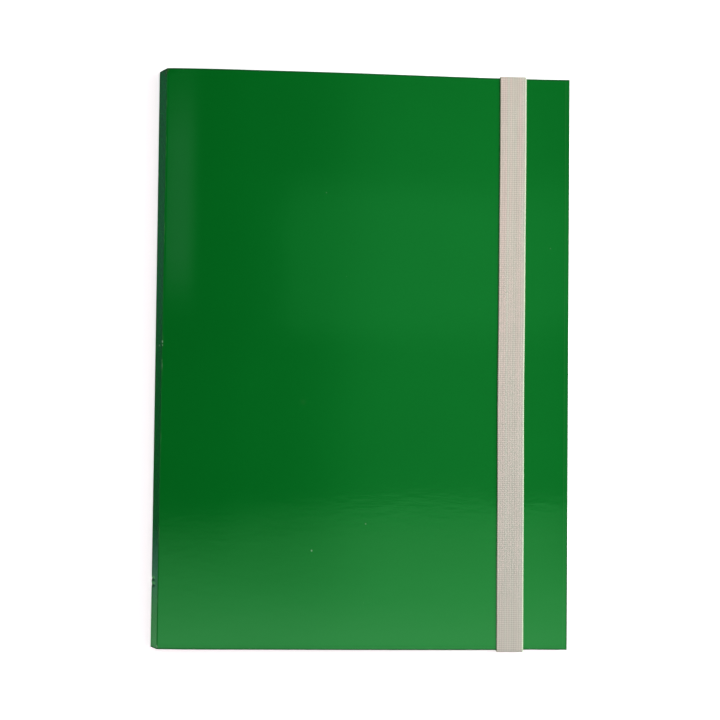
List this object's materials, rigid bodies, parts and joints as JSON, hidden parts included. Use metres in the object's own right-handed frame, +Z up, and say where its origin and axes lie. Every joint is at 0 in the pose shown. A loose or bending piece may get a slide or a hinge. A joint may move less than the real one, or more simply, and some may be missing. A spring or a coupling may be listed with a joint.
{
  "type": "elastic folder",
  "caption": "Slim card document folder, closed: front cover, narrow spine, rear cover with folded inner flaps, and a wide woven elastic band round the fore edge side.",
  "frame": {"origin": "centre of the closed folder's bounding box, at its lowest point, where the eyelet heads meet the surface that it lies on", "axes": "+X from the spine to the fore edge, +Y from the bottom edge to the top edge along the elastic band, +Z up out of the front cover"},
  "size_m": [0.2522, 0.3536, 0.0153],
  "materials": {
    "cover_card": "gloss",
    "flap_card": "satin",
    "woven_elastic": "matte",
    "eyelet_nickel": "polished"
  },
  "bodies": {
    "rear": {"rear_cover": "cover_card", "top_flap": "flap_card", "bottom_flap": "flap_card", "side_flap": "flap_card", "elastic_band": "woven_elastic", "upper_eyelet": "eyelet_nickel", "lower_eyelet": "eyelet_nickel"},
    "spine": {"spine": "cover_card"},
    "front": {"front_cover": "cover_card"}
  },
  "joints": [
    {"name": "spine_hinge", "type": "hinge", "parent": "rear", "child": "spine", "pos_m": [-0.12612, 0, 0.0014], "axis": [0, -1, 0], "range_deg": [0, 110.25]},
    {"name": "front_cover_hinge", "type": "hinge", "parent": "spine", "child": "front", "pos_m": [-0.12117, 0, 0.0148], "axis": [0, -1, 0], "range_deg": [0, 69.7], "deforming": ["elastic_band"]}
  ]
}
